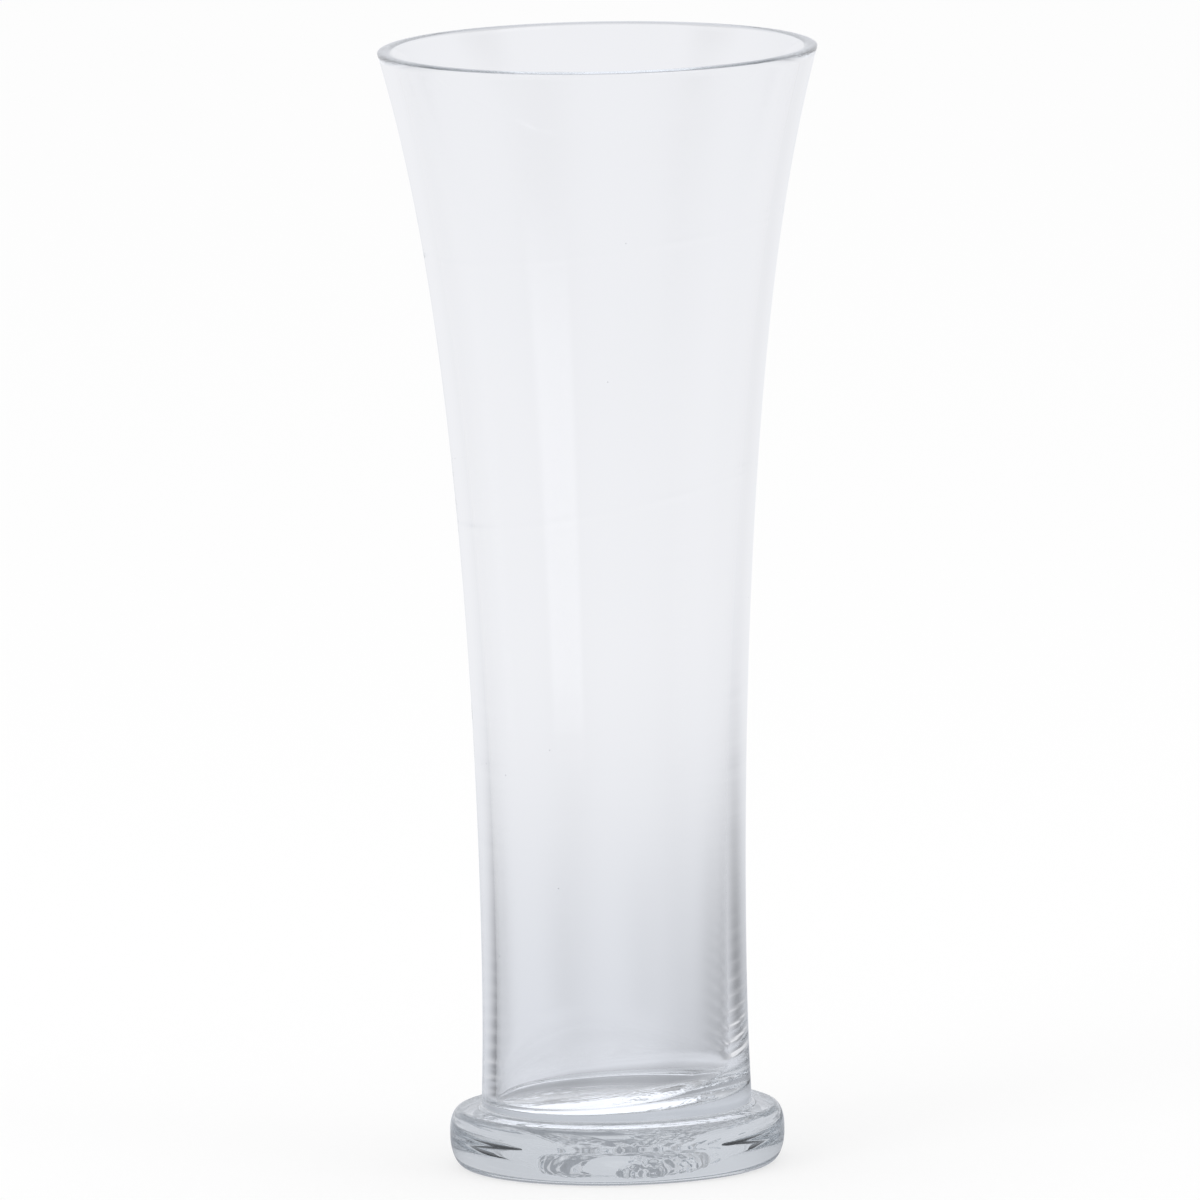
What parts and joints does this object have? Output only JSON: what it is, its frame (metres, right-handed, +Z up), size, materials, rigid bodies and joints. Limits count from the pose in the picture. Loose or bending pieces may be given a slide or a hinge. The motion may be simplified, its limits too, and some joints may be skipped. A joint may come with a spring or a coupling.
{
  "type": "trumpet vase",
  "caption": "Tall clear-glass trumpet vase: a flared blown body with a thick closed bottom, fused on a solid round disc foot.",
  "frame": {"origin": "centre of the flat face under the foot, on which the vase stands", "axes": "+Z up out of the mouth along the axis of the turned form; the picture looks along +Y"},
  "size_m": [0.1172, 0.1172, 0.3],
  "materials": {
    "clear_glass": "clear, colourless, fire-polished soda-lime glass, faintly blue-grey where it is thick"
  },
  "bodies": {
    "root": {"blown_body": "clear_glass", "foot_disc": "clear_glass"}
  },
  "joints": []
}
